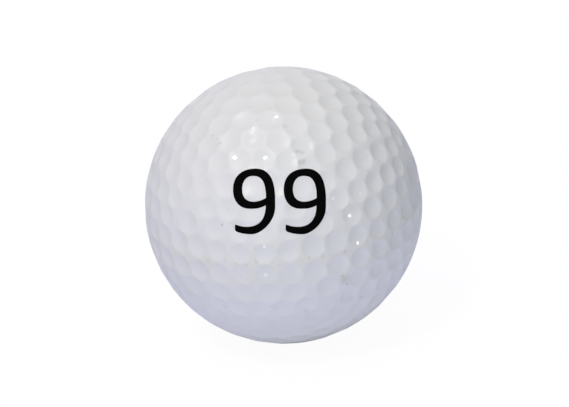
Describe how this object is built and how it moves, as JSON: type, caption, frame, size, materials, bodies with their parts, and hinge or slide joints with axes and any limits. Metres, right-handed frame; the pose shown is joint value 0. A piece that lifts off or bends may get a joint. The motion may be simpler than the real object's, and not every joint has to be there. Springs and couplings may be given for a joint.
{
  "type": "golf ball",
  "caption": "Dimpled white golf ball: a solid rubber core inside a mantle and a cover, each in halves that meet at the mould seam.",
  "frame": {"origin": "centre of the ball", "axes": "+Z through the upper pole, the mould seam in the XY plane, the printed side facing -Y"},
  "size_m": [0.0428, 0.0428, 0.0426],
  "materials": {
    "cover": "white ionomer under a clear gloss coat, lightly scuffed",
    "mantle": "cream ionomer, as moulded",
    "core": "teal cross-linked rubber, ground round",
    "number_ink": "black pad-printed ink under the clear coat"
  },
  "bodies": {
    "root": {"cover_upper_half": "cover", "cover_lower_half": "cover", "mantle_upper_half": "mantle", "mantle_lower_half": "mantle", "core": "core"}
  },
  "joints": []
}
